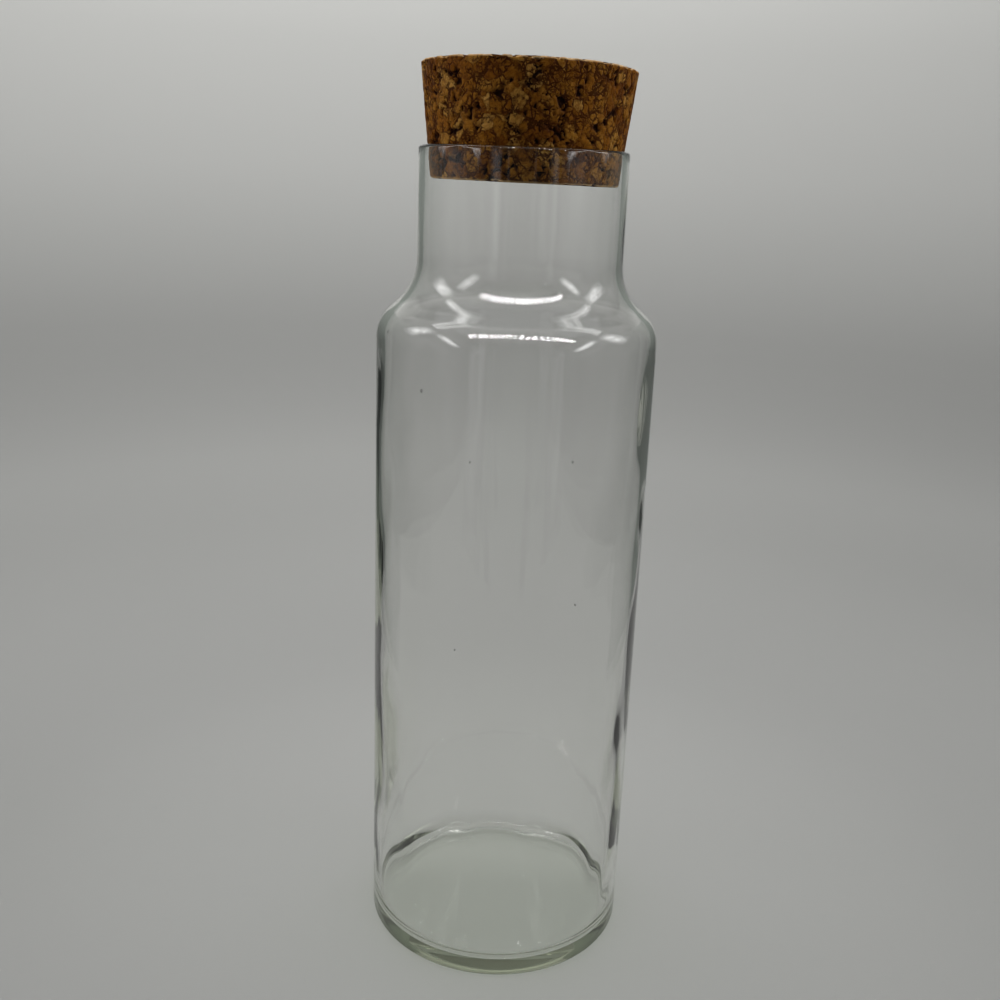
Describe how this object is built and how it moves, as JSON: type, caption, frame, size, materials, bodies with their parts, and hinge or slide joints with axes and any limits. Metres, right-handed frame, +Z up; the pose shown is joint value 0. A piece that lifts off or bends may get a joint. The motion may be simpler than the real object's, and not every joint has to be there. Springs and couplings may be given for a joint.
{
  "type": "lidded glass canister",
  "caption": "Tall straight glass canister with a sloping shoulder, a wide straight neck and a tapered cork stopper that lifts out as its lid.",
  "frame": {"origin": "centre of the base, on the plane of the ring that the canister stands on", "axes": "+Z up along the axis of the glass, from the base through the neck to the stopper"},
  "size_m": [0.103, 0.103, 0.333],
  "materials": {
    "clear_glass": "polished",
    "cork": "matte"
  },
  "bodies": {
    "canister": {"glass_body": "clear_glass"},
    "stopper": {"cork_stopper": "cork"}
  },
  "joints": [
    {"name": "stopper_lift", "type": "slide", "parent": "canister", "child": "stopper", "axis": [0, 0, 1], "range_m": [0, 0.11]}
  ]
}
